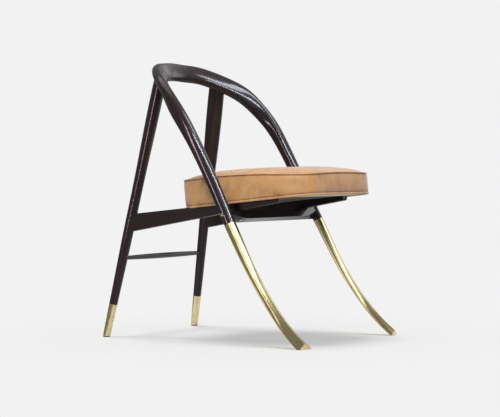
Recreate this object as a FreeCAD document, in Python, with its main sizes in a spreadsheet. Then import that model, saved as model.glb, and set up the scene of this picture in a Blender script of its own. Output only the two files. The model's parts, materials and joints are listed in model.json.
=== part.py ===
import FreeCAD, Part
import Sketcher
import math
import os

# Hoop chair. One bent wooden hoop is crest, arms and front uprights. Two straight wooden
# legs carry it at the back, and metal sabre legs and metal ferrules meet the floor.
# The chair faces -Y, +Z is up and +X is the sitter's left. The origin lies on the floor
# under the middle of the chair. Sizes are millimetres and degrees.
V = FreeCAD.Vector
ACROSS = V(1, 0, 0)
FRONT = V(0, -1, 0)
UP = V(0, 0, 1)
FLOOR = V(0, 0, 0)

SIZES = {
    # Centre line of the hoop: its crest, and its joint with the metal leg
    "crest_height": 717.5,
    "crest_back": 243.2,
    "joint_height": 311.0,
    "joint_front": 88.8,
    "joint_spread": 226.0,
    # Cross-section of the hoop at the crest, at arm height and at the joint
    "crest_band": 51.0,
    "crest_thickness": 26.0,
    "arm_thickness": 30.0,
    "joint_band": 30.0,
    "joint_thickness": 24.8,
    "hoop_lean_angle": 36.0,
    # Metal sabre leg: its toe, set out from the joint, flared and keeled
    "toe_set_out": 13.5,
    "toe_front": 320.8,
    "toe_centre_height": 4.5,
    "toe_band": 45.0,
    "toe_thickness": 15.5,
    "toe_turn_angle": 9.5,
    # Threaded stud that holds the metal leg in the end of the hoop
    "stud_diameter": 10.0,
    "stud_length": 50.0,
    "stud_in_wood": 18.0,
    # Rear leg: its axis at the floor and where it enters the hoop, both set in from the
    # hoop's spread, and the head also in front of the crest and below it; its thickness
    "leg_foot_set_in": 14.0,
    "leg_foot_back": 315.2,
    "leg_head_set_in": 86.2,
    "leg_head_forward": 54.4,
    "leg_head_drop": 29.5,
    "leg_waist": 27.5,
    "leg_head_band": 43.5,
    "leg_head_thickness": 33.0,
    # Metal ferrule on the foot of the rear leg, with its pin and floor glide
    "ferrule_length": 90.0,
    "ferrule_top_diameter": 22.4,
    "ferrule_foot_diameter": 20.0,
    "ferrule_wall": 1.2,
    "ferrule_floor": 6.0,
    "pin_diameter": 2.4,
    "pin_length": 8.0,
    "pin_height": 45.0,
    "pin_proud": 0.5,
    "glide_diameter": 17.0,
    "glide_thickness": 2.6,
    "glide_stem_diameter": 3.4,
    "glide_stem_length": 16.0,
    # Side rail, a long taper from the rear leg to a free tip under the seat
    "rail_length": 466.0,
    "rail_turn_angle": 1.5,
    "rail_thickness": 22.0,
    "rail_rear_bottom": 282.4,
    "rail_rear_height": 47.6,
    "rail_top_rise": 48.6,
    "rail_tip_height": 12.8,
    "rail_tip_slant": 3.0,
    "rail_edge_round": 1.5,
    # Front cross rail between the uprights of the hoop, bolted below the side rails
    "cross_bolt_drop": 10.0,
    "cross_depth": 22.0,
    "cross_drop": 19.6,
    "cross_cove": 20.0,
    "cross_end_rise": 11.0,
    # Turned stretcher between the rear legs
    "stretcher_height": 212.0,
    "stretcher_middle": 15.0,
    "stretcher_end": 10.6,
    "stretcher_stop": 3.0,
    "stretcher_tenon": 13.0,
    # Wooden dowels: rear leg into hoop, and side rail into rear leg
    "head_dowel_diameter": 10.0,
    "head_dowel_length": 44.0,
    "rail_dowel_diameter": 8.0,
    "rail_dowel_length": 34.0,
    "rail_dowel_low": 14.0,
    "rail_dowel_high": 33.0,
    # Bolt through each upright, and the sleeve that it screws into
    "bolt_diameter": 6.0,
    "bolt_length": 54.0,
    "bolt_head_diameter": 8.8,
    "bolt_head_rim": 2.6,
    "bolt_head_dome": 1.6,
    "bolt_sink": 1.2,
    "bolt_set_back": 4.0,
    "sleeve_diameter": 10.0,
    "sleeve_length": 20.0,
    # Screw up through the cross rail into each side rail
    "rail_screw_diameter": 4.5,
    "rail_screw_head": 8.5,
    "rail_screw_head_height": 2.8,
    "rail_screw_length": 30.0,
    # Seat: plan of the cushion, which is narrower than the hoop's spread, its height over
    # the rails, its crown and its covering
    "seat_side_gap": 28.0,
    "seat_half_length": 207.5,
    "seat_overhang": 89.5,
    "seat_corner": 86.0,
    "seat_side_bow": 6.0,
    "seat_centre_height": 66.0,
    "seat_wedge_angle": 3.1,
    "seat_crown": 22.0,
    "seam_draw": 5.0,
    "leather": 2.0,
    "welt_diameter": 4.0,
    "board_thickness": 12.0,
    "board_inset": 10.0,
    "dust_cover_thickness": 0.8,
    # Screws and tee nuts that hold the seat board to the rails
    "seat_screw_diameter": 6.0,
    "seat_screw_head": 11.0,
    "seat_screw_head_height": 3.4,
    "seat_screw_front": 38.0,
    "seat_screw_rear": 226.0,
    "seat_screw_front_grip": 9.0,
    "seat_screw_rear_grip": 16.0,
    "tee_flange_diameter": 18.0,
    "tee_flange_thickness": 1.5,
    "tee_barrel_diameter": 8.6,
    "tee_barrel_length": 9.0,
    # Clearances: glued joints, soft parts and drilled holes
    "glue_gap": 0.2,
    "soft_gap": 0.3,
    "hole_gap": 0.15,
}

doc = FreeCAD.newDocument("hoop_chair")
sheet = doc.addObject("Spreadsheet::Sheet", "sizes")
for row, (alias, value) in enumerate(SIZES.items(), start=1):
    sheet.set("A%d" % row, alias)
    sheet.set("B%d" % row, str(value))
    sheet.setAlias("B%d" % row, alias)
doc.recompute()

nodes = {}


def size(alias):
    """One driving size, read from the sheet."""
    return float(sheet.get(alias))


def keep(name, thing):
    """Names an object as a finished piece of the chair."""
    thing.Label = name
    nodes[name] = thing
    return thing


def feature(name, shape):
    """A piece whose shape is worked out here from the sizes in the sheet."""
    thing = doc.addObject("Part::Feature", name)
    thing.Shape = shape
    thing.Placement = FreeCAD.Placement()
    return thing


def cylinder(name, radius, height, base, direction):
    """A cylinder bound to the sheet that starts at a point and runs in a direction."""
    thing = doc.addObject("Part::Cylinder", name)
    thing.setExpression("Radius", radius)
    thing.setExpression("Height", height)
    thing.Placement = FreeCAD.Placement(base, FreeCAD.Rotation(UP, direction))
    return thing


def cut(name, base, tools):
    """The base with every tool taken away."""
    tool = tools[0]
    if len(tools) > 1:
        tool = doc.addObject("Part::MultiFuse", name + "_tools")
        tool.Shapes = tools
    thing = doc.addObject("Part::Cut", name)
    thing.Base = base
    thing.Tool = tool
    return thing


def mirrored(source):
    """The same piece on the other side of the chair."""
    thing = doc.addObject("Part::Mirroring", source.Name + "_twin")
    thing.Source = source
    thing.Base = FLOOR
    thing.Normal = ACROSS
    return thing


def both(tools):
    """Tools for one side with their mirror images."""
    return tools + [mirrored(tool) for tool in tools]


def group(name, pieces):
    """One node of separate solids: the pieces and their mirror images."""
    thing = doc.addObject("Part::Compound", name)
    thing.Links = both(pieces)
    return keep(name, thing)


def left_and_right(name, source):
    """Keeps a left piece and makes its right-hand twin."""
    keep(name + "_left", source)
    keep(name + "_right", mirrored(source))


def polygon_sketch(body, plane, corners):
    """A closed outline whose corners are formulas of the sheet, none of them negative."""
    sketch = body.newObject("Sketcher::SketchObject", body.Name + "_outline")
    support = [item for item in body.Origin.OriginFeatures if item.Role == plane][0]
    sketch.AttachmentSupport = [(support, "")]
    sketch.MapMode = "FlatFace"
    points = [V(float(sketch.evalExpression(a)), float(sketch.evalExpression(b)), 0) for a, b in corners]
    count = len(points)
    for i in range(count):
        sketch.addGeometry(Part.LineSegment(points[i], points[(i + 1) % count]), False)
    for i in range(count):
        sketch.addConstraint(Sketcher.Constraint("Coincident", i, 2, (i + 1) % count, 1))
    for i in range(count):
        for kind, zero_axis, value, formula in (
            ("DistanceX", -2, points[i].x, corners[i][0]),
            ("DistanceY", -1, points[i].y, corners[i][1]),
        ):
            if formula == "0":
                sketch.addConstraint(Sketcher.Constraint("PointOnObject", i, 1, zero_axis))
                continue
            index = sketch.addConstraint(Sketcher.Constraint(kind, -1, 1, i, 1, value))
            label = "%s_%d" % (kind, i)
            sketch.renameConstraint(index, label)
            sketch.setExpression("Constraints." + label, formula)
    return sketch


def turned(name, corners, base, direction):
    """A lathe-turned body: an outline of (radius, height) corners swept round its axis."""
    body = doc.addObject("PartDesign::Body", name)
    sketch = polygon_sketch(body, "XZ_Plane", corners)
    spin = body.newObject("PartDesign::Revolution", name + "_spin")
    spin.Profile = sketch
    spin.ReferenceAxis = (sketch, ["V_Axis"])
    spin.Angle = 360.0
    body.Placement = FreeCAD.Placement(base, FreeCAD.Rotation(UP, direction))
    return body


def between(start, end, share):
    """The value at a share of the way from start to end."""
    return start + (end - start) * share


def flip(point):
    """The mirror image of a point across the chair's middle plane."""
    return V(-point.x, point.y, point.z)


# Centre line and sections of the hoop and its metal legs
# Each row is a station of the left half, from the crest down to the joint. Across, back
# and up are shares of the centre line's reach. Slim runs from the crest's band to the
# joint's and is negative where the band is broader still. Thick runs from 0 at the crest
# through 1 at the arm to 2 at the joint. Turn is how far the broad face has swung from
# facing back to facing front, and lean how far its upper edge tips outwards.
HOOP_SHARES = (
    (0.000, 1.000, 1.000, 0.00, 0.00, 0.000, 0.62),
    (0.208, 0.983, 0.994, 0.00, 0.05, 0.050, 0.69),
    (0.390, 0.939, 0.985, -0.05, 0.20, 0.110, 0.84),
    (0.562, 0.866, 0.955, -0.13, 0.40, 0.180, 0.96),
    (0.721, 0.772, 0.909, -0.06, 0.65, 0.260, 1.00),
    (0.845, 0.669, 0.848, 0.14, 0.90, 0.360, 0.96),
    (0.925, 0.560, 0.755, 0.41, 1.00, 0.470, 0.60),
    (0.966, 0.452, 0.649, 0.60, 1.08, 0.560, 0.24),
    (0.975, 0.341, 0.512, 0.78, 1.20, 0.620, 0.06),
    (0.976, 0.229, 0.352, 0.85, 1.32, 0.655, 0.00),
    (0.982, 0.117, 0.180, 0.91, 1.58, 0.690, 0.00),
    (1.000, 0.000, 0.000, 1.00, 2.00, 0.735, 0.00),
)
# Stations of the metal leg below the joint: across, forward and down run from the joint
# to the toe, then widen, thin and turn as above, and how far the keel has grown.
LEG_SHARES = (
    (0.15, 0.177, 0.245, -0.10, 0.22, 0.820, 0.00),
    (0.26, 0.366, 0.483, -0.13, 0.41, 0.900, 0.15),
    (0.44, 0.569, 0.688, -0.02, 0.54, 0.955, 0.45),
    (0.70, 0.780, 0.861, 0.38, 0.78, 0.985, 0.80),
    (1.00, 1.000, 1.000, 1.00, 1.00, 1.000, 1.00),
    (1.08, 1.065, 1.038, 1.16, 1.00, 1.000, 1.00),
)
SECTION_POINTS = 16
CREST_SQUARENESS = 2.8
ROUND_SQUARENESS = 2.0
KEEL_SIDE_SHARE = 0.35
HALF_TURN = 180.0
toe_spread = size("joint_spread") + size("toe_set_out")


def hoop_stations():
    """Left half of the hoop: centre, band, thickness, turn, lean, squareness and keel."""
    rows = []
    for across, back, up, slim, thick, turn, lean in HOOP_SHARES:
        centre = V(
            size("joint_spread") * across,
            between(-size("joint_front"), size("crest_back"), back),
            between(size("joint_height"), size("crest_height"), up),
        )
        band = between(size("crest_band"), size("joint_band"), slim)
        thickness = between(size("crest_thickness"), size("arm_thickness"), min(thick, 1))
        thickness += (size("joint_thickness") - size("arm_thickness")) * max(thick - 1, 0)
        angle = (HALF_TURN - size("toe_turn_angle")) * turn
        squareness = between(CREST_SQUARENESS, ROUND_SQUARENESS, 1 - up)
        rows.append((centre, band, thickness, angle, size("hoop_lean_angle") * lean, squareness, 0))
    return rows


def leg_stations():
    """Left metal leg, from below the joint to past the floor, in the same terms."""
    rows = []
    for across, forward, down, widen, thin, turn, keel in LEG_SHARES:
        centre = V(
            between(size("joint_spread"), toe_spread, across),
            -between(size("joint_front"), size("toe_front"), forward),
            between(size("joint_height"), size("toe_centre_height"), down),
        )
        band = between(size("joint_band"), size("toe_band"), widen)
        thickness = between(size("joint_thickness"), size("toe_thickness"), thin)
        angle = (HALF_TURN - size("toe_turn_angle")) * turn
        rows.append((centre, band, thickness, angle, 0, ROUND_SQUARENESS, keel))
    return rows


hoop_rows = hoop_stations()
leg_rows = leg_stations()
left_centres = [row[0] for row in hoop_rows + leg_rows]
centre_line = Part.BSplineCurve()
centre_line.interpolate([flip(point) for point in reversed(left_centres[1:])] + left_centres)


def tangent_at(point):
    """Direction of the centre line at a point on it, from the right side to the left."""
    return centre_line.tangent(centre_line.parameter(point))[0]


def closed_curve(points):
    """One smooth closed curve through the points, with its knots evenly spaced."""
    outline = Part.BSplineCurve()
    knots = [float(i) for i in range(len(points) + 1)]
    outline.interpolate(Points=points, PeriodicFlag=True, Parameters=knots)
    return outline


def skinned(sections):
    """
    A solid whose smooth side passes through closed sections. The control points of the
    section curves are joined lengthwise by curves of their own, spaced as the sections
    are, and the two ends are closed flat.
    """
    curves = [closed_curve(points) for points in sections]
    rows = [curve.getPoles() for curve in curves]
    middles = [sum(row, V()) / len(row) for row in rows]
    stations = [0.0]
    for last, following in zip(middles, middles[1:]):
        stations.append(stations[-1] + (following - last).Length)
    columns = []
    for column in zip(*rows):
        rib = Part.BSplineCurve()
        rib.interpolate(Points=list(column), Parameters=stations)
        columns.append(rib)
    surface = Part.BSplineSurface()
    surface.buildFromPolesMultsKnots(
        [rib.getPoles() for rib in columns],
        curves[0].getMultiplicities(), columns[0].getMultiplicities(),
        curves[0].getKnots(), columns[0].getKnots(),
        True, False, curves[0].Degree, columns[0].Degree,
    )
    side = surface.toShape()
    ends = [Part.Face(Part.Wire([edge])) for edge in side.Edges if edge.isClosed()]
    skin = Part.Shell([side] + ends)
    skin.sewShape()
    solid = Part.Solid(skin)
    if solid.Volume < 0:
        solid.reverse()
    return solid


def oval_radius(c, s, squareness):
    """Radius of a unit superellipse in the direction (c, s)."""
    return (abs(c) ** squareness + abs(s) ** squareness) ** (-1 / squareness)


def gable_radius(c, s):
    """Radius of a unit house outline: flat back, low sides and a roof that meets in a keel."""
    reach = max(abs(c), -s, s + 2 * (1 - KEEL_SIDE_SHARE) * abs(c))
    return 1 / reach


def section_points(row, side, grow):
    """Cross-section of the hoop or metal leg at a station on one side."""
    centre, band, thickness, turn, lean, squareness, keel = row
    if side < 0:
        centre = flip(centre)
    along = tangent_at(centre)
    angle = math.radians(turn)
    face = V(side * math.sin(angle), math.cos(angle), 0)
    face = (face - along * face.dot(along)).normalize()
    edge = along.cross(face)
    tip = math.radians(lean)
    upper = edge * math.cos(tip) + face * math.sin(tip)
    outer = face * math.cos(tip) - edge * math.sin(tip)
    points = []
    for i in range(SECTION_POINTS):
        phi = 2 * math.pi * i / SECTION_POINTS
        c = math.cos(phi)
        s = math.sin(phi)
        radius = between(oval_radius(c, s, squareness), gable_radius(c, s), keel)
        reach = upper * (radius * c * (band / 2 + grow)) + outer * (radius * s * (thickness / 2 + grow))
        points.append(centre + reach)
    return points


def whole_hoop(grow):
    """The whole hoop, skinned through its sections from right joint to left joint."""
    right = [section_points(row, -1, grow) for row in reversed(hoop_rows[1:])]
    left = [section_points(row, 1, grow) for row in hoop_rows]
    return skinned(right + left)


def centre_at_height(height):
    """Point of the left upright's centre line at a given height, found by halving."""
    low = centre_line.parameter(hoop_rows[0][0])
    high = centre_line.parameter(hoop_rows[-1][0])
    for _ in range(40):
        middle = (low + high) / 2
        if centre_line.value(middle).z > height:
            low = middle
        else:
            high = middle
    return centre_line.value(low)


# Rear leg: a straight tapered shaft whose oval head follows the curve of the hoop
# Each row is a station from the leg's waist to its head: a share of the axis, then how
# far its band and thickness have grown.
SHAFT_SHARES = (
    (0.42, 0.00, 0.00),
    (0.50, 0.12, 0.00),
    (0.62, 0.50, 0.12),
    (0.80, 1.00, 0.90),
    (1.00, 1.00, 1.00),
)
SHAFT_POINTS = 12
FOOT_STATION_SHARE = 0.26
leg_foot = V(size("joint_spread") - size("leg_foot_set_in"), size("leg_foot_back"), 0)
leg_head = V(
    size("joint_spread") - size("leg_head_set_in"),
    size("crest_back") - size("leg_head_forward"),
    size("crest_height") - size("leg_head_drop"),
)
leg_way = (leg_head - leg_foot).normalize()
leg_length = (leg_head - leg_foot).Length


def leg_axis_at(height):
    """Point of the left rear leg's axis at a given height."""
    return leg_foot + (leg_head - leg_foot) * (height / leg_head.z)


def shaft_points(distance, band, thickness, grow):
    """Oval section of the rear leg at a distance up its axis, long way along the hoop."""
    hoop_way = tangent_at(hoop_rows[3][0])
    edge = (hoop_way - leg_way * hoop_way.dot(leg_way)).normalize()
    face = leg_way.cross(edge)
    points = []
    for i in range(SHAFT_POINTS):
        phi = 2 * math.pi * i / SHAFT_POINTS
        out = edge * (math.cos(phi) * (band / 2 + grow)) + face * (math.sin(phi) * (thickness / 2 + grow))
        points.append(leg_foot + leg_way * distance + out)
    return points


def leg_shaft(grow):
    """The wooden shaft above the ferrule, skinned up into the middle of the hoop."""
    top = size("ferrule_top_diameter")
    waist = size("leg_waist")
    calf = between(top, waist, 0.5)
    sections = [
        shaft_points(size("ferrule_length") + size("glue_gap"), top, top, grow),
        shaft_points(leg_length * FOOT_STATION_SHARE, calf, calf, grow),
    ]
    for share, wide, thick in SHAFT_SHARES:
        band = between(waist, size("leg_head_band"), wide)
        thickness = between(waist, size("leg_head_thickness"), thick)
        sections.append(shaft_points(leg_length * share, band, thickness, grow))
    return skinned(sections)


def leg_spigot():
    """The turned spigot below the shaft, which fills the ferrule."""
    wall = size("ferrule_wall") + size("glue_gap")
    start = size("ferrule_floor") + size("glue_gap")
    return Part.makeCone(
        size("ferrule_foot_diameter") / 2 - wall,
        size("ferrule_top_diameter") / 2 - wall,
        size("ferrule_length") + size("glue_gap") - start,
        leg_foot + leg_way * start,
        leg_way,
    )


# Line of the left side rail, from its root in the rear leg to its tip under the seat
rail_root = leg_axis_at(size("rail_rear_bottom") + size("rail_rear_height") / 2)
rail_root = V(rail_root.x, rail_root.y, size("rail_rear_bottom"))
rail_turn = math.radians(size("rail_turn_angle"))
rail_way = V(-math.sin(rail_turn), -math.cos(rail_turn), 0)
rail_frame = FreeCAD.Placement(rail_root, FreeCAD.Rotation(rail_way, UP.cross(rail_way), UP, "ZXY"))
rail_tip_top = size("rail_rear_height") + size("rail_top_rise")


def rail_place(distance, height):
    """A point in the middle of the left rail, by distance from its root and height over it."""
    return rail_frame.multVec(V(distance, 0, height))


def rail_bottom_at(y):
    """Height of the rail's lower edge where it crosses a given Y."""
    distance = (rail_root.y - y) / math.cos(rail_turn)
    slope = (rail_tip_top - size("rail_tip_height")) / (size("rail_length") - size("rail_tip_slant"))
    return rail_root.z + slope * distance


# Holes that two or more pieces share
DOWEL_SEAT_SHARE = 0.45
joint_point = hoop_rows[-1][0]
joint_way = tangent_at(joint_point)
cross_point = centre_at_height(rail_bottom_at(-size("joint_front")) - size("cross_bolt_drop"))
cross_way = tangent_at(cross_point)
bolt_point = cross_point - FRONT * size("bolt_set_back")
hoop_blank = feature("hoop_blank", whole_hoop(0))
hoop_space = feature("hoop_space", whole_hoop(size("glue_gap")))
upright_line = Part.makeLine(bolt_point, bolt_point + ACROSS * size("joint_spread"))
upright_skin = upright_line.common(hoop_blank.Shape).BoundBox.XMax
bolt_seat = V(upright_skin - size("bolt_sink"), bolt_point.y, bolt_point.z)
dowel_middle = leg_head - leg_way * (size("crest_band") * DOWEL_SEAT_SHARE)

stud_start = joint_point - joint_way * size("stud_in_wood")
stud_hole = cylinder(
    "stud_hole", "sizes.stud_diameter / 2 + sizes.hole_gap", "sizes.stud_length + sizes.hole_gap * 2",
    stud_start - joint_way * size("hole_gap"), joint_way)
head_dowel_hole = cylinder(
    "head_dowel_hole", "sizes.head_dowel_diameter / 2 + sizes.hole_gap",
    "sizes.head_dowel_length + sizes.hole_gap * 2",
    dowel_middle - leg_way * (size("head_dowel_length") / 2 + size("hole_gap")), leg_way)
bolt_hole = cylinder(
    "bolt_hole", "sizes.bolt_diameter / 2 + sizes.hole_gap", "sizes.bolt_length + sizes.hole_gap",
    bolt_seat, -ACROSS)
bolt_sinking = cylinder(
    "bolt_sinking", "sizes.bolt_head_diameter / 2 + sizes.hole_gap", "sizes.joint_band",
    bolt_seat, ACROSS)

# Hoop
hoop_holes = both([stud_hole, head_dowel_hole, bolt_hole, bolt_sinking])
keep("hoop", cut("hoop", hoop_blank, hoop_holes))

# Metal sabre legs, cut flat by the floor and upright at the toe, which turns outwards
sabre_rows = [hoop_rows[-1]] + leg_rows
sabre_skin = skinned([section_points(row, 1, 0) for row in sabre_rows])
toe_room = Part.makeBox(size("joint_spread"), size("crest_height"), size("crest_height"))
toe_room.translate(V(-size("joint_spread") / 2, 0, 0))
toe_room.rotate(FLOOR, UP, size("toe_turn_angle"))
toe_room.translate(V(toe_spread, -size("toe_front"), 0))
sabre_blank = feature("sabre_blank", sabre_skin.common(toe_room))
left_and_right("front_leg", cut("front_leg", sabre_blank, [stud_hole]))

stud = cylinder("stud", "sizes.stud_diameter / 2", "sizes.stud_length", stud_start, joint_way)
group("front_leg_studs", [stud])

# Side rails: tapering boards, coped and doweled to the rear legs, with free slanted tips
rail_board = doc.addObject("PartDesign::Body", "rail_board")
rail_outline = polygon_sketch(rail_board, "XZ_Plane", [
    ("0", "0"),
    ("sizes.rail_length - sizes.rail_tip_slant",
     "sizes.rail_rear_height + sizes.rail_top_rise - sizes.rail_tip_height"),
    ("sizes.rail_length",
     "sizes.rail_rear_height + sizes.rail_top_rise - sizes.rail_tip_height / 2"),
    ("sizes.rail_length", "sizes.rail_rear_height + sizes.rail_top_rise"),
    ("0", "sizes.rail_rear_height"),
])
rail_pad = rail_board.newObject("PartDesign::Pad", "rail_pad")
rail_pad.Profile = rail_outline
rail_pad.setExpression("Length", "sizes.rail_thickness")
rail_pad.Midplane = True
doc.recompute()
LONG_EDGE_SHARE = 0.9
long_edges = [
    "Edge%d" % number for number, edge in enumerate(rail_pad.Shape.Edges, start=1)
    if edge.Length > size("rail_length") * LONG_EDGE_SHARE
]
rail_round = rail_board.newObject("PartDesign::Fillet", "rail_round")
rail_round.Base = (rail_pad, long_edges)
rail_round.setExpression("Radius", "sizes.rail_edge_round")
rail_board.Placement = rail_frame

shaft_space = feature("shaft_space", leg_shaft(size("glue_gap")))
rail_dowels = []
rail_dowel_holes = []
for name, height in (("low", size("rail_dowel_low")), ("high", size("rail_dowel_high"))):
    middle = rail_place(size("leg_waist") / 2, height)
    start = middle - rail_way * (size("rail_dowel_length") / 2)
    rail_dowels.append(cylinder(
        "rail_dowel_" + name, "sizes.rail_dowel_diameter / 2", "sizes.rail_dowel_length", start, rail_way))
    rail_dowel_holes.append(cylinder(
        "rail_dowel_hole_" + name, "sizes.rail_dowel_diameter / 2 + sizes.hole_gap",
        "sizes.rail_dowel_length + sizes.hole_gap * 2", start - rail_way * size("hole_gap"), rail_way))

# Seat frame: its plane lies on the tops of both rails, and its Y axis points back
seat_tilt = math.atan2(size("rail_top_rise"), size("rail_length") * math.cos(rail_turn))
seat_back_way = V(0, math.cos(seat_tilt), -math.sin(seat_tilt))
seat_up = ACROSS.cross(seat_back_way)
rail_tip = rail_place(size("rail_length"), rail_tip_top)
seat_origin = V(0, rail_tip.y, rail_tip.z)
seat_origin += seat_back_way * (size("seat_half_length") - size("seat_overhang"))
seat_origin += seat_up * size("soft_gap")
seat_frame = FreeCAD.Placement(seat_origin, FreeCAD.Rotation(ACROSS, seat_back_way, seat_up, "ZXY"))

# Screws from the rails into tee nuts in the seat board
SCREW_BOTTOM_SHARE = 0.4
SCREW_REACH_SHARE = 0.8
seat_screws = {}
tee_nuts = []
rail_screw_room = []
board_room = []
cover_room = []
for name in ("front", "rear"):
    distance = size("rail_length") - size("seat_screw_" + name)
    rail_top = between(size("rail_rear_height"), rail_tip_top, distance / size("rail_length"))
    on_top = rail_place(distance, rail_top)
    grip = "sizes.seat_screw_%s_grip" % name
    bearing = on_top - seat_up * size("seat_screw_%s_grip" % name)
    head = "sizes.seat_screw_head_height"
    stack = " + sizes.soft_gap + sizes.dust_cover_thickness"
    stack += " + sizes.board_thickness * %s" % SCREW_REACH_SHARE
    tip = head + " + " + grip + stack
    seat_screws[name] = turned("seat_screw_" + name, [
        ("0", "0"),
        ("sizes.seat_screw_head * %s" % SCREW_BOTTOM_SHARE, "0"),
        ("sizes.seat_screw_head / 2", head + " / 2"),
        ("sizes.seat_screw_head / 2", head),
        ("sizes.seat_screw_diameter / 2", head),
        ("sizes.seat_screw_diameter / 2", tip),
        ("0", tip),
    ], bearing - seat_up * size("seat_screw_head_height"), seat_up)
    rail_screw_room.append(cylinder(
        "seat_screw_hole_" + name, "sizes.seat_screw_diameter / 2 + sizes.hole_gap",
        "sizes.rail_rear_height", bearing, seat_up))
    rail_screw_room.append(cylinder(
        "seat_screw_sinking_" + name, "sizes.seat_screw_head / 2 + sizes.hole_gap",
        "sizes.rail_rear_height", bearing, -seat_up))
    board_foot = on_top + seat_up * (size("soft_gap") + size("dust_cover_thickness"))
    board_head = board_foot + seat_up * size("board_thickness")
    tee_height = size("tee_barrel_length") + size("tee_flange_thickness")
    nut_top = "sizes.tee_barrel_length + sizes.tee_flange_thickness"
    tee_nuts.append(turned("tee_nut_" + name, [
        ("sizes.seat_screw_diameter / 2 + sizes.hole_gap", "0"),
        ("sizes.tee_barrel_diameter / 2", "0"),
        ("sizes.tee_barrel_diameter / 2", "sizes.tee_barrel_length"),
        ("sizes.tee_flange_diameter / 2", "sizes.tee_barrel_length"),
        ("sizes.tee_flange_diameter / 2", nut_top),
        ("sizes.seat_screw_diameter / 2 + sizes.hole_gap", nut_top),
    ], board_head - seat_up * tee_height, seat_up))
    board_room.append(cylinder(
        "tee_barrel_hole_" + name, "sizes.tee_barrel_diameter / 2 + sizes.hole_gap",
        "sizes.board_thickness * 2", board_foot - seat_up * (size("board_thickness") / 2), seat_up))
    board_room.append(cylinder(
        "tee_flange_seat_" + name, "sizes.tee_flange_diameter / 2 + sizes.hole_gap",
        "sizes.board_thickness", board_head - seat_up * size("tee_flange_thickness"), seat_up))
    cover_room.append(cylinder(
        "cover_hole_" + name, "sizes.seat_screw_diameter / 2 + sizes.hole_gap",
        "sizes.board_thickness", board_foot - seat_up * (size("board_thickness") / 2), seat_up))
group("seat_screws_front", [seat_screws["front"]])
group("seat_screws_rear", [seat_screws["rear"]])
group("seat_tee_nuts", tee_nuts)

# Front cross rail: square to the uprights, its top planed to carry the side rails, its
# lower front edge coved away and its top raised where it meets the uprights
cross_up = V(0, -cross_way.y, -cross_way.z).normalize()
cross_face = V(0, -cross_up.z, cross_up.y)
CROSS_STATION_SHARES = (0.6, 0.68, 0.76, 0.84, 0.88, 0.94, 1.0)
COVE_START_SHARE = 0.6
RISE_START_SHARE = 0.88


def under_rails(point):
    """The point moved up the cross rail until it lies a glue gap under the side rails."""
    drop = rail_bottom_at(point.y) - size("glue_gap") - point.z
    slope = (rail_bottom_at(point.y + cross_up.y) - rail_bottom_at(point.y))
    return point + cross_up * (drop / (cross_up.z - slope))


def cross_wire(share):
    """Section of the cross rail at a share of its half length."""
    cove = max(0, (abs(share) - COVE_START_SHARE) / (1 - COVE_START_SHARE)) ** 2
    rise = max(0, (abs(share) - RISE_START_SHARE) / (1 - RISE_START_SHARE))
    middle = V(cross_point.x * share, cross_point.y, cross_point.z) - cross_up * size("cross_drop")
    rear = middle - cross_face * (size("cross_depth") / 2)
    front = middle + cross_face * (size("cross_depth") / 2)
    lift = cross_up * (size("cross_end_rise") * rise)
    corners = [
        rear,
        front + cross_up * (size("cross_cove") * cove),
        under_rails(front) + lift,
        under_rails(rear) + lift,
    ]
    return Part.makePolygon(corners + corners[:1])


cross_shares = [-share for share in reversed(CROSS_STATION_SHARES)] + list(CROSS_STATION_SHARES)
cross_sections = [cross_wire(share) for share in cross_shares]
cross_blank = feature("cross_blank", Part.makeLoft(cross_sections, True, True))

rail_x_at_cross = rail_root.x - math.tan(rail_turn) * (rail_root.y - cross_point.y)
rail_screw_foot = V(rail_x_at_cross, cross_point.y, cross_point.z) - cross_up * size("cross_drop")
rail_screw = turned("rail_screw", [
    ("0", "0"),
    ("sizes.rail_screw_head / 2", "0"),
    ("sizes.rail_screw_head / 2", "sizes.rail_screw_head_height / 2"),
    ("sizes.rail_screw_diameter / 2", "sizes.rail_screw_head_height"),
    ("sizes.rail_screw_diameter / 2", "sizes.rail_screw_length"),
    ("0", "sizes.rail_screw_length"),
], rail_screw_foot, cross_up)
rail_screw_hole = cylinder(
    "rail_screw_hole", "sizes.rail_screw_diameter / 2 + sizes.hole_gap",
    "sizes.rail_screw_length + sizes.hole_gap", rail_screw_foot, cross_up)
rail_screw_sinking = cylinder(
    "rail_screw_sinking", "sizes.rail_screw_head / 2 + sizes.hole_gap",
    "sizes.rail_screw_head_height * 2", rail_screw_foot - cross_up * size("rail_screw_head_height"),
    cross_up)
sleeve_start = bolt_seat - ACROSS * size("bolt_length")
sleeve_hole = cylinder(
    "sleeve_hole", "sizes.sleeve_diameter / 2 + sizes.hole_gap", "sizes.bolt_length",
    sleeve_start - ACROSS * size("hole_gap"), ACROSS)
cross_tools = [hoop_space] + both([sleeve_hole, rail_screw_hole, rail_screw_sinking])
keep("front_cross_rail", cut("front_cross_rail", cross_blank, cross_tools))
group("cross_rail_screws", [rail_screw])

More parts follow.
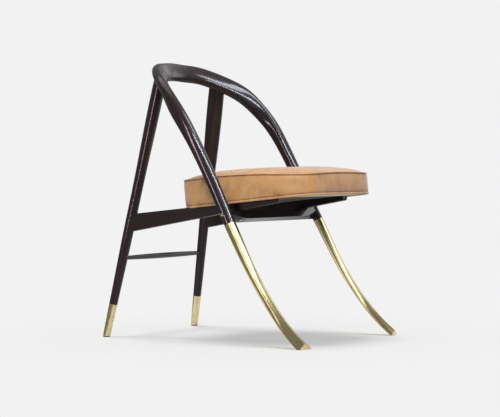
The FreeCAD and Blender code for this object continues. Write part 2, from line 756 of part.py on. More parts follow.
DOME_SHARES = ((0.4, 0.6), (0.2, 1.0))
bolt_rim = "sizes.bolt_length + sizes.bolt_head_rim"
bolt_dome = [
    ("sizes.bolt_head_diameter * %s" % across, bolt_rim + " + sizes.bolt_head_dome * %s" % rise)
    for across, rise in DOME_SHARES
]
bolt = turned("bolt", [
    ("0", "0"),
    ("sizes.bolt_diameter / 2", "0"),
    ("sizes.bolt_diameter / 2", "sizes.bolt_length"),
    ("sizes.bolt_head_diameter / 2", "sizes.bolt_length"),
    ("sizes.bolt_head_diameter / 2", bolt_rim),
] + bolt_dome + [
    ("0", bolt_rim + " + sizes.bolt_head_dome"),
], sleeve_start, ACROSS)
group("cross_rail_bolts", [bolt])
sleeve = turned("sleeve", [
    ("sizes.bolt_diameter / 2 + sizes.hole_gap", "0"),
    ("sizes.sleeve_diameter / 2", "0"),
    ("sizes.sleeve_diameter / 2", "sizes.sleeve_length"),
    ("sizes.bolt_diameter / 2 + sizes.hole_gap", "sizes.sleeve_length"),
], sleeve_start, ACROSS)
group("cross_rail_sleeves", [sleeve])

rail_tools = [shaft_space] + rail_dowel_holes + rail_screw_room + [rail_screw_hole]
left_and_right("side_rail", cut("side_rail", rail_board, rail_tools))
group("rail_dowels", rail_dowels)

# Rear stretcher: a spindle that swells in the middle and plugs into both rear legs
stretcher_axis = leg_axis_at(size("stretcher_height"))
stretcher_half = stretcher_axis.x - size("stretcher_stop")
stretcher_middle = V(0, stretcher_axis.y, stretcher_axis.z)
stretcher_end = stretcher_middle + ACROSS * stretcher_half
stretcher_corners = [stretcher_end]
for inset in (0, size("stretcher_tenon")):
    stretcher_corners.append(stretcher_end - ACROSS * inset + UP * (size("stretcher_end") / 2))
stretcher_top = stretcher_middle + UP * (size("stretcher_middle") / 2)
right_corners = [V(-corner.x, corner.y, corner.z) for corner in reversed(stretcher_corners)]
swell = Part.Arc(stretcher_corners[-1], stretcher_top, right_corners[0]).toShape()
stretcher_outline = Part.Wire([
    Part.makePolygon(stretcher_corners), swell, Part.makePolygon(right_corners + stretcher_corners[:1]),
])
stretcher_shape = Part.Face(stretcher_outline).revolve(stretcher_middle, ACROSS, 2 * HALF_TURN)
keep("rear_stretcher", feature("rear_stretcher", stretcher_shape))
stretcher_hole = cylinder(
    "stretcher_hole", "sizes.stretcher_end / 2 + sizes.hole_gap", "sizes.leg_waist",
    stretcher_end + ACROSS * size("hole_gap"), -ACROSS)

# Floor glide with its stem, standing upright under the slanted ferrule
glide = turned("glide", [
    ("0", "0"),
    ("sizes.glide_diameter / 2", "0"),
    ("sizes.glide_diameter / 2", "sizes.glide_thickness"),
    ("sizes.glide_stem_diameter / 2", "sizes.glide_thickness"),
    ("sizes.glide_stem_diameter / 2", "sizes.glide_thickness + sizes.glide_stem_length"),
    ("0", "sizes.glide_thickness + sizes.glide_stem_length"),
], leg_foot, UP)
left_and_right("glide", glide)
glide_hole = cylinder(
    "glide_hole", "sizes.glide_stem_diameter / 2 + sizes.hole_gap",
    "sizes.glide_thickness + sizes.glide_stem_length + sizes.hole_gap", leg_foot, UP)

# Metal ferrule: a conical cup cut level over the glide, with a cross pin at the front
ferrule_cup = turned("ferrule_cup", [
    ("0", "0"),
    ("sizes.ferrule_foot_diameter / 2", "0"),
    ("sizes.ferrule_top_diameter / 2", "sizes.ferrule_length"),
    ("sizes.ferrule_top_diameter / 2 - sizes.ferrule_wall", "sizes.ferrule_length"),
    ("sizes.ferrule_foot_diameter / 2 - sizes.ferrule_wall", "sizes.ferrule_floor"),
    ("0", "sizes.ferrule_floor"),
], leg_foot, leg_way)
floor_block = doc.addObject("Part::Box", "floor_block")
floor_block.setExpression("Length", "sizes.ferrule_length")
floor_block.setExpression("Width", "sizes.ferrule_length")
floor_block.setExpression("Height", "sizes.ferrule_length")
floor_block.Placement = FreeCAD.Placement(
    leg_foot + V(-size("ferrule_length") / 2, -size("ferrule_length") / 2,
                 size("glide_thickness") - size("ferrule_length")),
    FreeCAD.Rotation())
pin_way = (FRONT - leg_way * FRONT.dot(leg_way)).normalize()
pin_share = size("pin_height") / size("ferrule_length")
pin_radius = between(size("ferrule_foot_diameter"), size("ferrule_top_diameter"), pin_share) / 2
pin_reach = pin_radius + size("pin_proud")
pin_outer = leg_foot + leg_way * size("pin_height") + pin_way * pin_reach
pin = cylinder("pin", "sizes.pin_diameter / 2", "sizes.pin_length", pin_outer, -pin_way)
pin_hole = cylinder(
    "pin_hole", "sizes.pin_diameter / 2 + sizes.hole_gap",
    "sizes.pin_length + sizes.hole_gap", pin_outer, -pin_way)
group("ferrule_pins", [pin])
left_and_right("ferrule", cut("ferrule", ferrule_cup, [floor_block, glide_hole, pin_hole]))

# Rear legs, coped to the hoop above them
leg_blank = feature("leg_blank", leg_shaft(0).fuse(leg_spigot()))
leg_tools = [hoop_space, head_dowel_hole, stretcher_hole, glide_hole, pin_hole] + rail_dowel_holes
left_and_right("rear_leg", cut("rear_leg", leg_blank, leg_tools))
head_dowel = cylinder(
    "head_dowel", "sizes.head_dowel_diameter / 2", "sizes.head_dowel_length",
    dowel_middle - leg_way * (size("head_dowel_length") / 2), leg_way)
group("leg_head_dowels", [head_dowel])

# Seat cushion, built flat in the seat's own frame and then laid on the rails
# Wall rows: share of the height up to the top seam, and how far the seam draws the side
# in. Crown rows: share of the plan, and share of the crown's rise.
WALL_SHARES = ((0.0, 1.0), (0.12, 0.35), (0.5, 0.0), (0.88, 0.35), (1.0, 1.0))
CROWN_SHARES = ((1.0, 0.0), (0.96, 0.28), (0.86, 0.62), (0.66, 0.90), (0.4, 1.0))
TOP_WELT_SHARE = 0.65
LOW_WELT_SHARE = 0.95
seat_half_width = size("joint_spread") - size("seat_side_gap")


def bowed_radius(half, bow):
    """Radius of an arc with a given half chord and rise."""
    return (half ** 2 + bow ** 2) / (2 * bow)


def cushion_wire(inset, scale, height, wedge):
    """
    Plan of the cushion at a height: four bowed sides and four tangent corner arcs. Each
    corner's centre is where circles around two side centres cross.
    """
    half_width = (seat_half_width - inset) * scale
    half_length = (size("seat_half_length") - inset) * scale
    corner = (size("seat_corner") - inset) * scale
    bow = size("seat_side_bow") * scale
    side_radius = bowed_radius(half_length, bow)
    end_radius = bowed_radius(half_width, bow)
    side_centre = V(half_width - side_radius, 0, 0)
    end_centre = V(0, half_length - end_radius, 0)
    apart = end_centre - side_centre
    first = side_radius - corner
    second = end_radius - corner
    along = (first ** 2 - second ** 2 + apart.Length ** 2) / (2 * apart.Length)
    away = math.sqrt(first ** 2 - along ** 2)
    way = V(apart.x, apart.y, 0).normalize()
    corner_centre = side_centre + way * along + V(-way.y, way.x, 0) * -away
    if corner_centre.x < 0 or corner_centre.y < 0:
        corner_centre = side_centre + way * along + V(-way.y, way.x, 0) * away
    side_touch = side_centre + (corner_centre - side_centre).normalize() * side_radius
    end_touch = end_centre + (corner_centre - end_centre).normalize() * end_radius
    corner_way = (side_touch + end_touch - corner_centre * 2).normalize()
    corner_middle = corner_centre + corner_way * corner
    arcs = []
    for sx, sy in ((1, 1), (-1, 1), (-1, -1), (1, -1)):
        side = V(side_touch.x * sx, side_touch.y * sy, 0)
        end = V(end_touch.x * sx, end_touch.y * sy, 0)
        middle = V(corner_middle.x * sx, corner_middle.y * sy, 0)
        if sx * sy > 0:
            arcs.append(Part.Arc(side, middle, end))
            arcs.append(Part.Arc(end, V(0, half_length * sy, 0), V(-end.x, end.y, 0)))
        else:
            arcs.append(Part.Arc(end, middle, side))
            arcs.append(Part.Arc(side, V(half_width * sx, 0, 0), V(side.x, -side.y, 0)))
    wire = Part.Wire([arc.toShape() for arc in arcs])
    wire.translate(UP * height)
    wire.rotate(UP * height, ACROSS, wedge)
    return wire


def wall_loft(inset):
    """Side of the cushion from the rails to the top seam, drawn in at both seams."""
    wires = []
    for share, draw in WALL_SHARES:
        height = size("seat_centre_height") * share
        drawn = inset + size("seam_draw") * draw
        wedge = size("seat_wedge_angle") * share
        wires.append(cushion_wire(drawn, 1, height, wedge))
    return Part.makeLoft(wires, True, False)


def crown_loft(inset):
    """Crowned top of the cushion above the top seam."""
    wires = []
    for scale, share in CROWN_SHARES:
        height = size("seat_centre_height") + size("seat_crown") * share
        wires.append(cushion_wire(inset + size("seam_draw"), scale, height, size("seat_wedge_angle")))
    return Part.makeLoft(wires, True, False)


def welt_ring(outset, height, wedge):
    """Round cord sewn along a seam: a circle carried along the cushion's plan."""
    path = cushion_wire(size("seam_draw") - outset, 1, height, wedge)
    start = path.Edges[0].valueAt(path.Edges[0].FirstParameter)
    way = path.Edges[0].tangentAt(path.Edges[0].FirstParameter)
    circle = Part.Wire([Part.Circle(start, way, size("welt_diameter") / 2).toShape()])
    return path.makePipeShell([circle], True, False)


def lay_on_rails(thing):
    """Moves a piece from the seat's own frame to its place on the rails."""
    thing.Placement = seat_frame
    return thing


foam_inset = size("leather") + size("soft_gap")
board_top = size("dust_cover_thickness") + size("board_thickness")
cover_face = Part.Face(cushion_wire(size("board_inset"), 1, 0, 0))
cover_sheet = cover_face.extrude(UP * size("dust_cover_thickness"))
dust_cover_blank = lay_on_rails(feature("dust_cover_blank", cover_sheet))
keep("seat_dust_cover", cut("seat_dust_cover", dust_cover_blank, both(cover_room)))

board_face = Part.Face(cushion_wire(size("board_inset"), 1, size("dust_cover_thickness"), 0))
board_blank = lay_on_rails(feature("board_blank", board_face.extrude(UP * size("board_thickness"))))
keep("seat_board", cut("seat_board", board_blank, both(board_room)))

board_block = Part.makeBox(
    seat_half_width * 2, size("seat_half_length") * 2, size("seat_centre_height"))
board_block.translate(V(-seat_half_width, -size("seat_half_length"),
                        board_top + size("soft_gap") - size("seat_centre_height")))
foam_body = wall_loft(foam_inset).fuse(crown_loft(foam_inset)).removeSplitter()
foam_body.translate(UP * -foam_inset)
keep("seat_foam", lay_on_rails(feature("seat_foam", foam_body.cut(board_block))))

band_shape = wall_loft(0).cut(wall_loft(size("leather")))
keep("seat_band", lay_on_rails(feature("seat_band", band_shape)))
panel_hollow = crown_loft(size("leather"))
panel_hollow.translate(UP * -size("leather"))
keep("seat_top_panel", lay_on_rails(feature("seat_top_panel", crown_loft(0).cut(panel_hollow))))

top_outset = size("welt_diameter") * TOP_WELT_SHARE
top_welt = welt_ring(top_outset, size("seat_centre_height"), size("seat_wedge_angle"))
keep("seat_welt_top", lay_on_rails(feature("seat_welt_top", top_welt)))
low_welt = welt_ring(size("welt_diameter") * LOW_WELT_SHARE, size("welt_diameter") / 2, 0)
keep("seat_welt_bottom", lay_on_rails(feature("seat_welt_bottom", low_welt)))

# Every object and every piece is checked before anything is written
doc.recompute()
for thing in doc.Objects:
    if "Invalid" in thing.State or "Error" in thing.State:
        raise RuntimeError("object failed: " + thing.Name)
for name, thing in nodes.items():
    if thing.Shape.isNull() or not thing.Shape.isValid():
        raise RuntimeError("shape failed: " + name)
os.makedirs("parts", exist_ok=True)
for name, thing in nodes.items():
    thing.Shape.exportStep(os.path.join("parts", name + ".step"))
    print(name, len(thing.Shape.Solids), "solid(s)", round(thing.Shape.Volume / 1000, 2), "cm3")
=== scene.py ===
"""Looks of the hoop armchair: dark bent wood, brass sabre legs and a piped leather seat."""

import json
import math

import bpy
import numpy as np
from mathutils import Matrix, Vector

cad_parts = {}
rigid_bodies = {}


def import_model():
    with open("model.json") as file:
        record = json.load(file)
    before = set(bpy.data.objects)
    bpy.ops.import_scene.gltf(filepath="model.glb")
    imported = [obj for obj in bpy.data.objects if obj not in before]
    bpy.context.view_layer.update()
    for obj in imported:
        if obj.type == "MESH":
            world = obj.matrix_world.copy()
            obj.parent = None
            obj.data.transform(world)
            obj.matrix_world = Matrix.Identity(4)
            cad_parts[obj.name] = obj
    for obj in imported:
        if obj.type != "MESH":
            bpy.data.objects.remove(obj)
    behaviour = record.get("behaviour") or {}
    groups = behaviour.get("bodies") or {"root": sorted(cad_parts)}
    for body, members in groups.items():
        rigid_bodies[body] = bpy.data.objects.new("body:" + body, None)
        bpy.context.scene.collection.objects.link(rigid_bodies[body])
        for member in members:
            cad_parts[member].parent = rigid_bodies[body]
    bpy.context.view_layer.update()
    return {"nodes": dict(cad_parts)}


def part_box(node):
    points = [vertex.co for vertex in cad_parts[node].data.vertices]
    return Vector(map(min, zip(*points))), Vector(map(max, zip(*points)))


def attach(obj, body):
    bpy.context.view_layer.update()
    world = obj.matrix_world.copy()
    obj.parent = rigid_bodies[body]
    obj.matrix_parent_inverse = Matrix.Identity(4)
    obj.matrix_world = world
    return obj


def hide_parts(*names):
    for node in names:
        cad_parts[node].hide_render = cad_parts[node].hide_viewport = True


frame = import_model()
nodes = frame["nodes"]

# Bent hoop
# One length of beech, steamed and bent round, is crest, arms and front uprights. It is
# stained nearly black, so that the grain only shows as faint red-brown streaks, and is
# sprayed with a satin lacquer that gives long soft highlights.
STAIN = "1b1312"
STREAK = "30211d"
WORN_EDGE = "3a2926"
STAIN_PATCH = 0.111
EDGE_WEAR = 0.0025
WOOD_SMOOTH = 0.41
WOOD_DULL = 0.51
LACQUER_ROUGHNESS = 0.12
# The grain of the bent length turns with it, and mostly runs down the arms and uprights.
HOOP_RUN = (0.12, 0.55, 0.83)
# Beech has rays and rings about 1 mm wide and pores under 0.1 mm. Both are drawn coarser
# here, because at their real size they are too fine to show.
GRAIN_WIDTH = 0.005
GRAIN_LENGTH = 0.22
PORE_WIDTH = 0.0012
PORE_LENGTH = 0.02
PORE_DEPTH = 0.00003


def linear(code):
    """An sRGB hex colour as linear red, green, blue and an alpha of one."""
    parts = [int(code[i:i + 2], 16) / 255 for i in (0, 2, 4)]
    curved = [p / 12.92 if p <= 0.04045 else ((p + 0.055) / 1.055) ** 2.4 for p in parts]
    return (*curved, 1.0)


def add(tree, kind, sockets, **settings):
    """Adds one node: settings are its own properties, and each socket gets a value or a link."""
    made = tree.nodes.new(kind)
    for name, value in settings.items():
        setattr(made, name, value)
    for name, value in sockets.items():
        if isinstance(value, bpy.types.NodeSocket):
            tree.links.new(value, made.inputs[name])
        else:
            made.inputs[name].default_value = value
    return made


def new_material(name):
    """An empty node material with its output node."""
    material = bpy.data.materials.new(name)
    material.use_nodes = True
    material.node_tree.nodes.clear()
    return material, add(material.node_tree, "ShaderNodeOutputMaterial", {})


def dress(material, *names):
    """Gives CAD nodes one material."""
    for name in names:
        slots = nodes[name].data.materials
        slots.clear()
        slots.append(material)


def upright(run):
    """The turn that brings a direction onto Z, so that Z lies along the piece."""
    return Vector(run).rotation_difference(Vector((0, 0, 1))).to_euler()


def ebonised_wood(name, run):
    """
    Stained and lacquered beech. To the eye it is nearly black, with streaks that come and
    go in broad patches, slightly paler along handled edges, under a clear gloss. The
    streaks and pores are noise squeezed across the piece and drawn out along it, and the
    edges are where a rounded normal leaves the flat one.
    """
    material, output = new_material(name)
    tree = material.node_tree
    place = add(tree, "ShaderNodeTexCoord", {})
    turned = add(tree, "ShaderNodeMapping", {"Vector": place.outputs["Object"], "Rotation": upright(run)})
    grain_size = (1 / GRAIN_WIDTH, 1 / GRAIN_WIDTH, 1 / GRAIN_LENGTH)
    boards = add(tree, "ShaderNodeMapping", {"Vector": turned.outputs[0], "Scale": grain_size})
    grain = add(tree, "ShaderNodeTexNoise", {
        "Vector": boards.outputs[0], "Scale": 1.0, "Detail": 3.0, "Roughness": 0.5})
    pore_size = (1 / PORE_WIDTH, 1 / PORE_WIDTH, 1 / PORE_LENGTH)
    pore_place = add(tree, "ShaderNodeMapping", {"Vector": turned.outputs[0], "Scale": pore_size})
    pores = add(tree, "ShaderNodeTexNoise", {
        "Vector": pore_place.outputs[0], "Scale": 1.0, "Detail": 1.0})
    broad = add(tree, "ShaderNodeTexNoise", {
        "Vector": turned.outputs[0], "Scale": 1 / STAIN_PATCH, "Detail": 2.0})
    shown = add(tree, "ShaderNodeMapRange", {
        "Value": grain.outputs["Fac"], "From Min": 0.4, "From Max": 0.7, "To Min": 0.0, "To Max": 0.8})
    patch = add(tree, "ShaderNodeMapRange", {
        "Value": broad.outputs["Fac"], "From Min": 0.35, "From Max": 0.7, "To Min": 0.3, "To Max": 1.0})
    amount = add(tree, "ShaderNodeMath", {
        0: shown.outputs[0], 1: patch.outputs[0]}, operation="MULTIPLY")
    stain = add(tree, "ShaderNodeMix", {
        0: amount.outputs[0], 6: linear(STAIN), 7: linear(STREAK)}, data_type="RGBA")
    rounded = add(tree, "ShaderNodeBevel", {"Radius": EDGE_WEAR}, samples=6)
    flat = add(tree, "ShaderNodeNewGeometry", {})
    bent = add(tree, "ShaderNodeVectorMath", {
        0: rounded.outputs[0], 1: flat.outputs["Normal"]}, operation="DOT_PRODUCT")
    edge = add(tree, "ShaderNodeMapRange", {
        "Value": bent.outputs["Value"], "From Min": 0.96, "From Max": 0.8, "To Min": 0.0, "To Max": 0.5})
    colour = add(tree, "ShaderNodeMix", {
        0: edge.outputs[0], 6: stain.outputs[2], 7: linear(WORN_EDGE)}, data_type="RGBA")
    dulled = add(tree, "ShaderNodeMapRange", {
        "Value": broad.outputs["Fac"], "From Min": 0.3, "From Max": 0.7,
        "To Min": WOOD_SMOOTH, "To Max": WOOD_DULL})
    relief = add(tree, "ShaderNodeBump", {
        "Height": pores.outputs["Fac"], "Distance": PORE_DEPTH, "Strength": 0.1})
    shader = add(tree, "ShaderNodeBsdfPrincipled", {
        "Base Color": colour.outputs[2], "Roughness": dulled.outputs[0], "Normal": relief.outputs[0],
        "IOR": 1.45, "Specular IOR Level": 0.16, "Coat Weight": 1.0,
        "Coat Roughness": LACQUER_ROUGHNESS, "Coat IOR": 1.32})
    tree.links.new(shader.outputs[0], output.inputs["Surface"])
    return material


dress(ebonised_wood("Ebonised bent beech", HOOP_RUN), "hoop")

# Rear legs, rails and stretcher
# Straight pieces of beech in the hoop's stain and lacquer, each with its grain along it.
# The legs are tapered shafts, the rails are tapering boards, the cross rail is rounded and
# coved, and the stretcher is a turned spindle.
RAIL_RUN = (0, 1, -0.1)
CROSS_RUN = (1, 0, 0)
leg_low, leg_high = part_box("rear_leg_left")
leg_run = Vector((leg_low.x - leg_high.x, leg_low.y - leg_high.y, leg_high.z - leg_low.z))

dress(ebonised_wood("Ebonised beech leg left", leg_run), "rear_leg_left")
dress(ebonised_wood("Ebonised beech leg right", (-leg_run.x, leg_run.y, leg_run.z)), "rear_leg_right")
dress(ebonised_wood("Ebonised beech rail", RAIL_RUN), "side_rail_left", "side_rail_right")
dress(ebonised_wood("Ebonised beech crosspiece", CROSS_RUN), "front_cross_rail", "rear_stretcher")

# Dowels
# Birch pegs glued across the joints. They are left bare and only show when the chair is
# taken apart.
BIRCH = "c9a878"
BIRCH_STREAK = "b08c5c"
PEG_GRAIN_WIDTH = 0.001
PEG_GRAIN_LENGTH = 0.02
BARE_RELIEF = 0.0002


def bare_wood(name, light, dark, width, length):
    """
    Unfinished wood: pale, dry and without a highlight, because its open fibres scatter the
    light. The grain is noise a width across and a length along Z.
    """
    material, output = new_material(name)
    tree = material.node_tree
    place = add(tree, "ShaderNodeTexCoord", {})
    scaled = add(tree, "ShaderNodeMapping", {
        "Vector": place.outputs["Object"], "Scale": (1 / width, 1 / width, 1 / length)})
    grain = add(tree, "ShaderNodeTexNoise", {"Vector": scaled.outputs[0], "Scale": 1.0, "Detail": 4.0})
    colour = add(tree, "ShaderNodeMix", {
        0: grain.outputs["Fac"], 6: linear(light), 7: linear(dark)}, data_type="RGBA")
    relief = add(tree, "ShaderNodeBump", {"Height": grain.outputs["Fac"], "Distance": BARE_RELIEF})
    shader = add(tree, "ShaderNodeBsdfPrincipled", {
        "Base Color": colour.outputs[2], "Roughness": 0.7, "Normal": relief.outputs[0]})
    tree.links.new(shader.outputs[0], output.inputs["Surface"])
    return material


bare_birch = bare_wood("Bare birch", BIRCH, BIRCH_STREAK, PEG_GRAIN_WIDTH, PEG_GRAIN_LENGTH)
dress(bare_birch, "leg_head_dowels", "rail_dowels")

# Sabre legs, ferrules and bolt heads
# Brass, cast and filed for the legs and turned for the rest, then polished and waxed. The
# legs are studded to the uprights, the ferrules are pinned to the rear feet, and the bolt
# heads hold the cross rail.
BRASS = "e8d9a4"
BRASS_DULL = "c2ab6c"
HANDLING_MARK = 0.0263
FILED_EDGE = 0.0015
CAST_POLISH = 0.14
TURNED_POLISH = 0.18
POLISH_LOSS = 0.04
FERRULE_RUN = (0, -0.18, 0.98)
# The hairlines that a polishing cloth leaves are finer than 0.1 mm, and are drawn coarser
# here, so that they show.
HAIRLINE_WIDTH = 0.0007
HAIRLINE_LENGTH = 0.06


def polished_brass(name, run, polish):
    """
    Polished brass: a warm pale gold mirror that wavers a little, because handling leaves
    cloudy marks and hairlines run down the piece. Colour and gloss follow both noises, the
    clouds' and the one drawn out along the piece.
    """
    material, output = new_material(name)
    tree = material.node_tree
    place = add(tree, "ShaderNodeTexCoord", {})
    turned = add(tree, "ShaderNodeMapping", {"Vector": place.outputs["Object"], "Rotation": upright(run)})
    line_size = (1 / HAIRLINE_WIDTH, 1 / HAIRLINE_WIDTH, 1 / HAIRLINE_LENGTH)
    line_place = add(tree, "ShaderNodeMapping", {"Vector": turned.outputs[0], "Scale": line_size})
    lines = add(tree, "ShaderNodeTexNoise", {
        "Vector": line_place.outputs[0], "Scale": 1.0, "Detail": 3.0})
    clouds = add(tree, "ShaderNodeTexNoise", {
        "Vector": place.outputs["Object"], "Scale": 1 / HANDLING_MARK, "Detail": 4.0})
    worn = add(tree, "ShaderNodeMath", {
        0: clouds.outputs["Fac"], 1: lines.outputs["Fac"]}, operation="ADD")
    dulled = add(tree, "ShaderNodeMapRange", {
        "Value": worn.outputs[0], "From Min": 0.95, "From Max": 1.25, "To Min": 0.0, "To Max": 0.7})
    colour = add(tree, "ShaderNodeMix", {
        0: dulled.outputs[0], 6: linear(BRASS), 7: linear(BRASS_DULL)}, data_type="RGBA")
    brushed = add(tree, "ShaderNodeMath", {
        0: clouds.outputs["Fac"], 1: lines.outputs["Fac"]}, operation="MULTIPLY")
    rough = add(tree, "ShaderNodeMapRange", {
        "Value": brushed.outputs[0], "From Min": 0.12, "From Max": 0.4,
        "To Min": polish, "To Max": polish + POLISH_LOSS})
    arris = add(tree, "ShaderNodeBevel", {"Radius": FILED_EDGE}, samples=8)
    shader = add(tree, "ShaderNodeBsdfPrincipled", {
        "Base Color": colour.outputs[2], "Metallic": 1.0, "Roughness": rough.outputs[0],
        "Normal": arris.outputs[0]})
    tree.links.new(shader.outputs[0], output.inputs["Surface"])
    return material


toe_low, toe_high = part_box("front_leg_left")
leg_fall = (0, toe_high.y - toe_low.y, toe_high.z - toe_low.z)
dress(polished_brass("Polished brass", leg_fall, CAST_POLISH), "front_leg_left", "front_leg_right")
dress(polished_brass("Turned brass", FERRULE_RUN, TURNED_POLISH),
      "ferrule_left", "ferrule_right", "ferrule_pins", "cross_rail_bolts")

# Hidden fittings
# Zinc-plated steel: studs in the metal legs, threaded sleeves and screws at the cross rail,
# and the screws and tee nuts that hold the seat. None of them shows on the finished chair.
ZINC = "a9adb0"
ZINC_SHADE = "8f979c"
# The crystals are finer than 0.1 mm, and are drawn coarser here, so that they show.
SPANGLE = 0.00143


def zinc_plated(name):
    """Bright zinc plating on steel: a soft grey metal with a bluish mottle of fine crystals."""
    material, output = new_material(name)
    tree = material.node_tree
    place = add(tree, "ShaderNodeTexCoord", {})
    mottle = add(tree, "ShaderNodeTexNoise", {
        "Vector": place.outputs["Object"], "Scale": 1 / SPANGLE, "Detail": 3.0})
    colour = add(tree, "ShaderNodeMix", {
        0: mottle.outputs["Fac"], 6: linear(ZINC_SHADE), 7: linear(ZINC)}, data_type="RGBA")
    rough = add(tree, "ShaderNodeMapRange", {
        "Value": mottle.outputs["Fac"], "To Min": 0.28, "To Max": 0.5})
    shader = add(tree, "ShaderNodeBsdfPrincipled", {
        "Base Color": colour.outputs[2], "Metallic": 1.0, "Roughness": rough.outputs[0]})
    tree.links.new(shader.outputs[0], output.inputs["Surface"])
    return material


dress(zinc_plated("Zinc plated steel"), "front_leg_studs", "cross_rail_sleeves", "cross_rail_screws",
      "seat_screws_front", "seat_screws_rear", "seat_tee_nuts")

# Floor glides
# Nylon discs, moulded and pressed into the ends of the rear legs. They show as a thin dark
# line under each ferrule and are scuffed by the floor.
NYLON = "1b1917"
NYLON_SCUFFED = "4a4641"
SCUFF = 0.0025
SCUFF_DEPTH = 0.0001


def scuffed_nylon(name):
    """Dark moulded nylon: a dull sheen, broken by pale scuffs where the noise is high."""
    material, output = new_material(name)
    tree = material.node_tree
    place = add(tree, "ShaderNodeTexCoord", {})
    scuffs = add(tree, "ShaderNodeTexNoise", {
        "Vector": place.outputs["Object"], "Scale": 1 / SCUFF, "Detail": 5.0})
    shown = add(tree, "ShaderNodeMapRange", {
        "Value": scuffs.outputs["Fac"], "From Min": 0.52, "From Max": 0.7, "To Min": 0.0, "To Max": 0.6})
    colour = add(tree, "ShaderNodeMix", {
        0: shown.outputs[0], 6: linear(NYLON), 7: linear(NYLON_SCUFFED)}, data_type="RGBA")
    relief = add(tree, "ShaderNodeBump", {"Height": scuffs.outputs["Fac"], "Distance": SCUFF_DEPTH})
    shader = add(tree, "ShaderNodeBsdfPrincipled", {
        "Base Color": colour.outputs[2], "Roughness": 0.55, "Normal": relief.outputs[0]})
    tree.links.new(shader.outputs[0], output.inputs["Surface"])
    return material


dress(scuffed_nylon("Scuffed nylon"), "glide_left", "glide_right")

# Seat board and dust cover
# Birch plywood carries the cushion. The cloth stapled under it is pale calico along the
# front, which shows as a strip before the rails, and painted black between them as shade.
PLYWOOD = "d8bd92"
PLYWOOD_STREAK = "bd9c6a"
PLY_GRAIN = 0.004
PLY = 0.0015
CALICO = "d8d2bf"
CALICO_THREAD = "c4bca6"
PAINTED_SHADE_BLACK = "1c1b1a"
CALICO_EDGE = 0.002
THREAD_DEPTH = 0.0003
# The threads of both cloths are about 0.3 mm thick, and are drawn coarser here, so that
# they show.
THREAD = 0.0012


def seat_cloth(name, border):
    """
    Plain cotton under a seat: quite matt, with a fuzz of short fibres. It is pale before the
    border along the depth and painted black behind it as shade under the seat, and the
    fibres are a noise that is swirled.
    """
    material, output = new_material(name)
    tree = material.node_tree
    place = add(tree, "ShaderNodeTexCoord", {})
    fibres = add(tree, "ShaderNodeTexNoise", {
        "Vector": place.outputs["Object"], "Scale": 1 / THREAD, "Detail": 3.0, "Distortion": 2.5})
    calico = add(tree, "ShaderNodeMix", {
        0: fibres.outputs["Fac"], 6: linear(CALICO_THREAD), 7: linear(CALICO)}, data_type="RGBA")
    apart = add(tree, "ShaderNodeSeparateXYZ", {"Vector": place.outputs["Object"]})
    behind = add(tree, "ShaderNodeMapRange", {
        "Value": apart.outputs["Y"], "From Min": border - CALICO_EDGE, "From Max": border})
    # Behind the border the cloth is painted black, a painted shade under the seat between the rails.
    colour = add(tree, "ShaderNodeMix", {
        0: behind.outputs[0], 6: calico.outputs[2], 7: linear(PAINTED_SHADE_BLACK)}, data_type="RGBA")
    relief = add(tree, "ShaderNodeBump", {"Height": fibres.outputs["Fac"], "Distance": THREAD_DEPTH})
    shader = add(tree, "ShaderNodeBsdfPrincipled", {
        "Base Color": colour.outputs[2], "Roughness": 0.9, "Sheen Weight": 0.15,
        "Normal": relief.outputs[0]})
    tree.links.new(shader.outputs[0], output.inputs["Surface"])
    return material


dress(bare_wood("Birch plywood", PLYWOOD, PLYWOOD_STREAK, PLY_GRAIN, PLY), "seat_board")
dress(seat_cloth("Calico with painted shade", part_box("side_rail_left")[0].y), "seat_dust_cover")

# Seat cushion
# A foam block in smooth tan leather, sewn as a boxed cover: a crowned top panel and a side
# band that meet in a piped seam, pulled down over the board and stapled beneath it. The
# filling presses the leather out between the seams, which stay drawn in.

# The dye, its darker clouds and rubbed marks, and a painted shade line in the seams.
LEATHER = "bf915f"
LEATHER_RUBBED = "c6a079"
LEATHER_DARK = "a07345"
SEAM_PAINTED_SHADE = "4c2c12"
SEAM_SHADE = 0.006
BLOTCH = 0.05
RUBS_PER_BLOTCH = 2.6
RUB_STRETCH = 0.45
PUCKER_DEPTH = 0.0012
PEBBLE_DEPTH = 0.00018
# The pores of real leather lie about 0.5 mm apart, and its pebble is drawn coarser here, so
# that it shows.
PEBBLE = 0.0016
# The plan: how far it stands over the board and lies forward on it, the thickness of the
# cloth under it, and its arcs.
BOARD_OVERHANG = 0.0115
FORWARD = 0.006
COVER_THICKNESS = 0.0008
CORNER = 0.086
SIDE_BOW = 0.006
SEAM_DRAW = 0.0053
# The profile: the top seam's height, rise to the back, bow and falls, and the crown.
RIM_HEIGHT = 0.0655
RIM_WEDGE = math.radians(3.1)
RIM_BOW = 0.004
CORNER_FALL = 1.9
END_DIP = 0.003
CROWN = 0.0135
CROWN_POWER = 10.0
WALL_POWER = 3.6
# The filling: how much leaner the cover starts, how far a point may move, and the cloth.
FILL_SHRINK = 0.003
FILL_CAP = 0.006
FILL_PRESSURE = 4.0
FILL_FRAMES = 20
# The mesh: its even spacing, how near the seam it is held, and the rows it is drawn in.
VOXEL = 0.005
HELD_SHARE = 0.8
ROUND_STEPS = 320
UNDER_ROWS = 24
BAND_ROWS = 22
CROWN_ROWS = 34
UNDER_HUB_SHARE = 0.02
CROWN_HUB_SHARE = 0.015
CROWN_RIM_SHARE = 0.99

